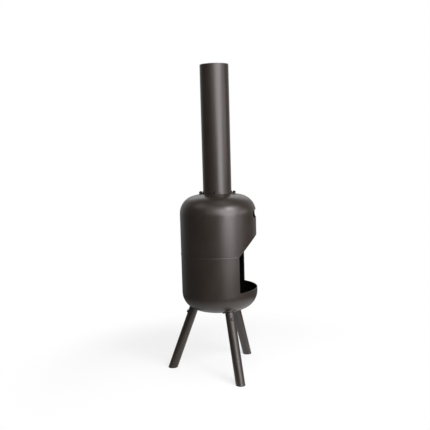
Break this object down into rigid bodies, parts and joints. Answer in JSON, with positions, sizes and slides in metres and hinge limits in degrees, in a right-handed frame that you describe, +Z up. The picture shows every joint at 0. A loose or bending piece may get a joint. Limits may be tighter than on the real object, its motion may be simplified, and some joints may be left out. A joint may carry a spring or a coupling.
{
  "type": "outdoor fireplace",
  "caption": "Slim steel garden fireplace: upright vessel with an open hooded mouth over a fire bowl, a tall plain chimney pipe and splayed tube legs.",
  "frame": {"origin": "centre of the overall footprint on the floor plane; the vessel's axis stands 41.3 mm in front of it, towards the mouth", "axes": "+Z up along the vessel and chimney, -Y out of the mouth, +X to the right of someone facing the mouth"},
  "size_m": [0.4654, 0.4326, 1.4065],
  "materials": {
    "shell_paint": "satin black-brown stove paint",
    "chimney_paint": "satin black-brown stove paint",
    "leg_paint": "satin black-brown stove paint",
    "fastener_steel": "blackened steel",
    "grate_steel": "bare dark scaled steel",
    "glide_plastic": "matt black moulded plastic"
  },
  "bodies": {
    "stove": {"lower_shell": "shell_paint", "upper_shell": "shell_paint", "seam_backing_band": "shell_paint", "chimney_pipe": "chimney_paint", "chimney_lug_front": "chimney_paint", "chimney_lug_rear": "chimney_paint", "chimney_lug_left": "chimney_paint", "chimney_lug_right": "chimney_paint", "chimney_bolts": "fastener_steel", "chimney_washers": "fastener_steel", "chimney_nuts": "fastener_steel", "leg_screws": "fastener_steel", "leg_screw_nuts": "fastener_steel", "rear_leg": "leg_paint", "rear_leg_pad": "shell_paint", "rear_leg_spigot": "shell_paint", "rear_foot_glide": "glide_plastic", "front_left_leg": "leg_paint", "front_left_leg_pad": "shell_paint", "front_left_leg_spigot": "shell_paint", "front_left_foot_glide": "glide_plastic", "front_right_leg": "leg_paint", "front_right_leg_pad": "shell_paint", "front_right_leg_spigot": "shell_paint", "front_right_foot_glide": "glide_plastic"},
    "grate": {"fire_grate": "grate_steel"}
  },
  "joints": [
    {"name": "grate_lift", "type": "slide", "parent": "stove", "child": "grate", "axis": [0, 0, 1], "range_m": [0, 0.085]}
  ]
}
